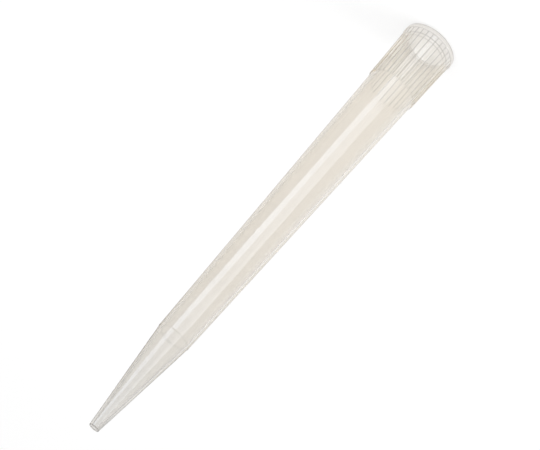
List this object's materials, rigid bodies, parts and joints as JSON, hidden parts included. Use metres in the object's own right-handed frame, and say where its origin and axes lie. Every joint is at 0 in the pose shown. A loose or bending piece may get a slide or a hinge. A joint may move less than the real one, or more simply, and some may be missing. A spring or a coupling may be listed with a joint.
{
  "type": "pipette tip",
  "caption": "Long hollow conical pipette tip in translucent plastic, with a lipped mouth, a finely ribbed collar, a slim barrel and a stepped narrow nose.",
  "frame": {"origin": "centre of the open mouth's rim, on the surface that the tip stands on", "axes": "+Z along the tip's axis, from the mouth up to the nose; the first grip rib faces -Y"},
  "size_m": [0.0168, 0.0168, 0.15],
  "materials": {
    "natural_plastic": "natural translucent polypropylene, smooth and slightly milky"
  },
  "bodies": {
    "root": {"tip": "natural_plastic"}
  },
  "joints": []
}
